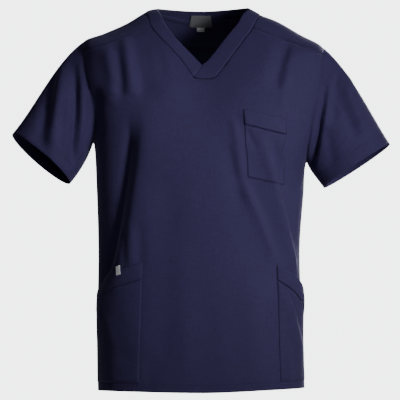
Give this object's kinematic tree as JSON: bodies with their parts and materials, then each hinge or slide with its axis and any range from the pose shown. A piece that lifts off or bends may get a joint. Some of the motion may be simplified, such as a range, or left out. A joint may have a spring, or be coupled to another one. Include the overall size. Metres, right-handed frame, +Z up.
{
  "type": "scrub top",
  "caption": "Short-sleeved V-neck scrub top, filled out as worn and hollow, with a lapped neckband, a shoulder yoke, a chest pocket and slanted lower patch pockets.",
  "frame": {"origin": "middle of the neck opening, level with the highest points of the shoulders, where the wearer's shoulders hold the top up", "axes": "+Z up, the front faces -Y, +X is the picture's right (the wearer's left)"},
  "size_m": [0.7571, 0.2769, 0.7684],
  "materials": {
    "navy_cloth": "matte poplin weave",
    "neck_label_cloth": "matte woven satin",
    "white_tab_cloth": "smooth woven satin",
    "pale_tag_cloth": "smooth satin"
  },
  "bodies": {
    "root": {"front": "navy_cloth", "back": "navy_cloth", "yoke": "navy_cloth", "neckband": "navy_cloth", "sleeve_left": "navy_cloth", "sleeve_right": "navy_cloth", "chest_pocket": "navy_cloth", "chest_pocket_band": "navy_cloth", "lower_pocket_left": "navy_cloth", "lower_pocket_band_left": "navy_cloth", "lower_pocket_right": "navy_cloth", "lower_pocket_band_right": "navy_cloth", "neck_label": "neck_label_cloth", "size_tab": "white_tab_cloth", "pocket_tag": "pale_tag_cloth"}
  },
  "joints": []
}
